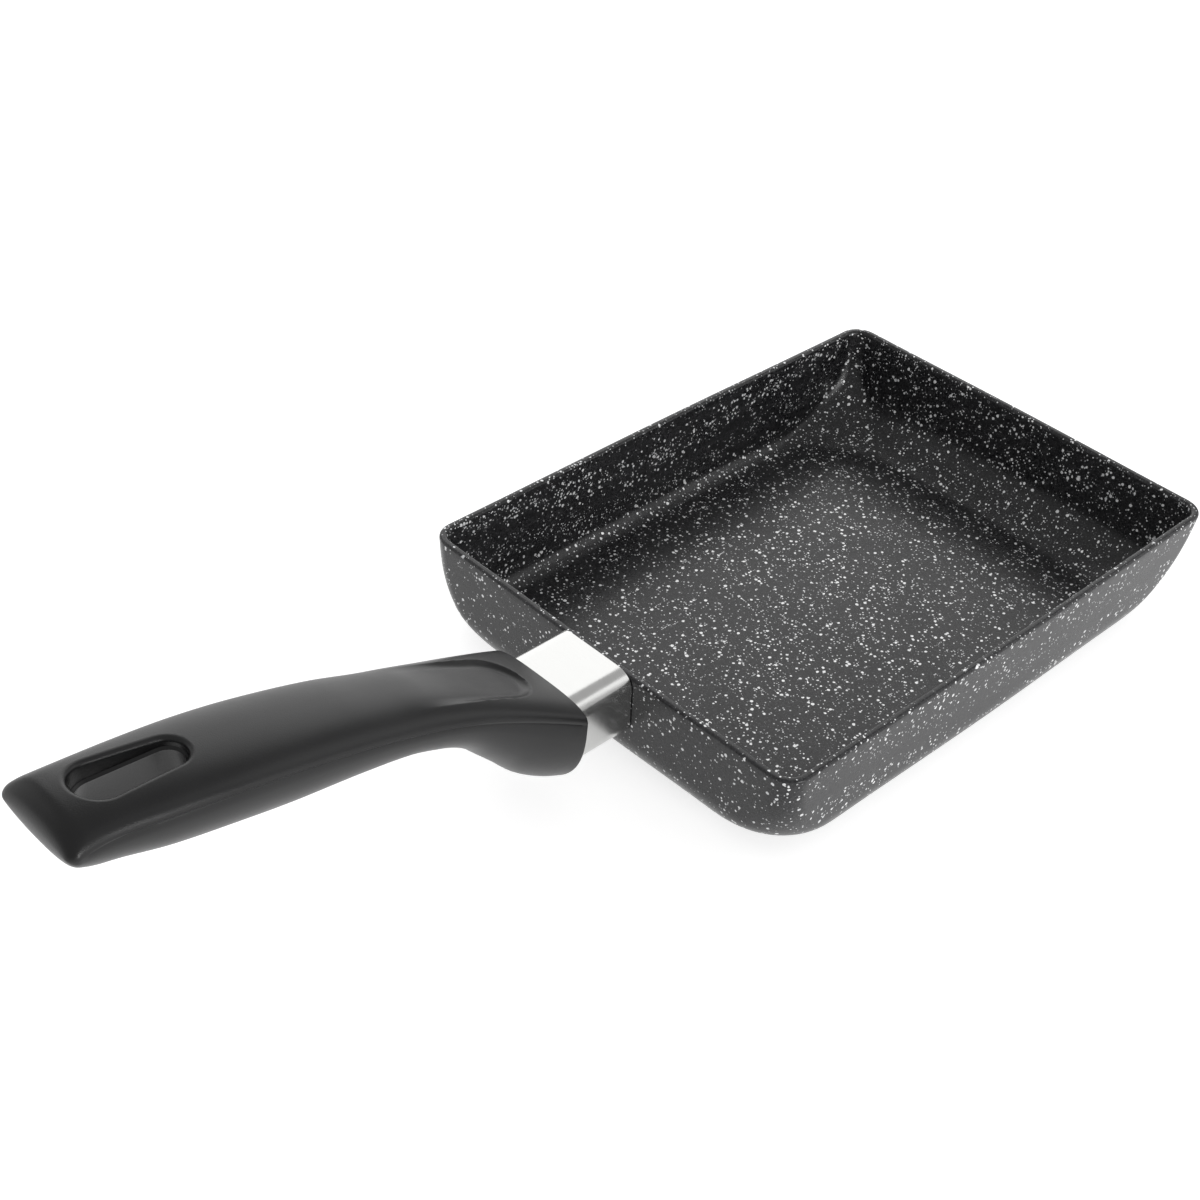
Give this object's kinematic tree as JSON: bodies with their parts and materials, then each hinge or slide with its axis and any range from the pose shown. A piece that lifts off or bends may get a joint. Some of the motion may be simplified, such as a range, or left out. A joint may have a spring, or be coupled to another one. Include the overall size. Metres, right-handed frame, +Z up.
{
  "type": "rectangular frying pan",
  "caption": "Rectangular omelette pan with a speckled non-stick coating, a steel flame guard and a moulded handle with a hanging slot.",
  "frame": {"origin": "centre of the flat underside of the pan, on the surface that it stands on", "axes": "+Z up, +Y from the handle towards the far wall, +X to the right when seen from the handle's end"},
  "size_m": [0.135, 0.3414, 0.0766],
  "materials": {
    "coated_body": "charcoal non-stick coating with pale speckles over cast aluminium",
    "bracket_steel": "plain pressed steel",
    "rivet_aluminium": "plain aluminium",
    "guard_steel": "bright stainless steel, finely brushed",
    "grip_plastic": "black heat-resistant moulding, satin",
    "screw_steel": "zinc-plated steel",
    "washer_steel": "spring steel",
    "nut_steel": "plain steel"
  },
  "bodies": {
    "root": {"pan_body": "coated_body", "handle_bracket": "bracket_steel", "bracket_rivets": "rivet_aluminium", "flame_guard": "guard_steel", "handle_grip": "grip_plastic", "handle_screw": "screw_steel", "lock_washer": "washer_steel", "bracket_nut": "nut_steel"}
  },
  "joints": []
}
